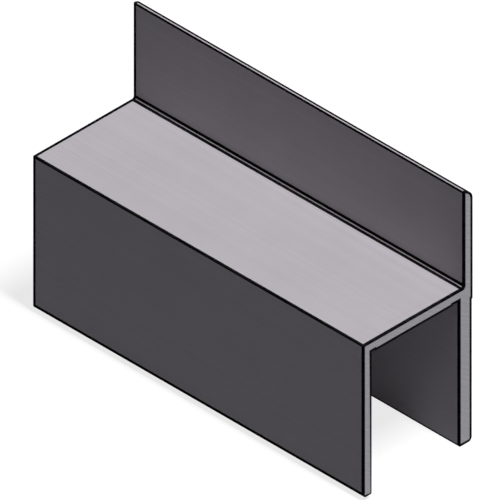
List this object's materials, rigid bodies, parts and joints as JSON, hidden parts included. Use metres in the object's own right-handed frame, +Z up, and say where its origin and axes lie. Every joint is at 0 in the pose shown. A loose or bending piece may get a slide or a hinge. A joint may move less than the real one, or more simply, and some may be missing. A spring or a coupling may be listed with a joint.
{
  "type": "h-profile edging",
  "caption": "Short length of extruded edging with an h-shaped section: a board channel between two legs, a level web and an upstand.",
  "frame": {"origin": "middle of the length and width, on the level of the back leg's foot, which is the lowest point", "axes": "+X along the extrusion, towards the end that faces the viewer; +Y from the thin front leg to the thicker back leg and the upstand; +Z up along the legs and the upstand"},
  "size_m": [0.076, 0.025, 0.05],
  "materials": {
    "aluminium": "mill finish, satin"
  },
  "bodies": {
    "root": {"h_profile": "aluminium"}
  },
  "joints": []
}
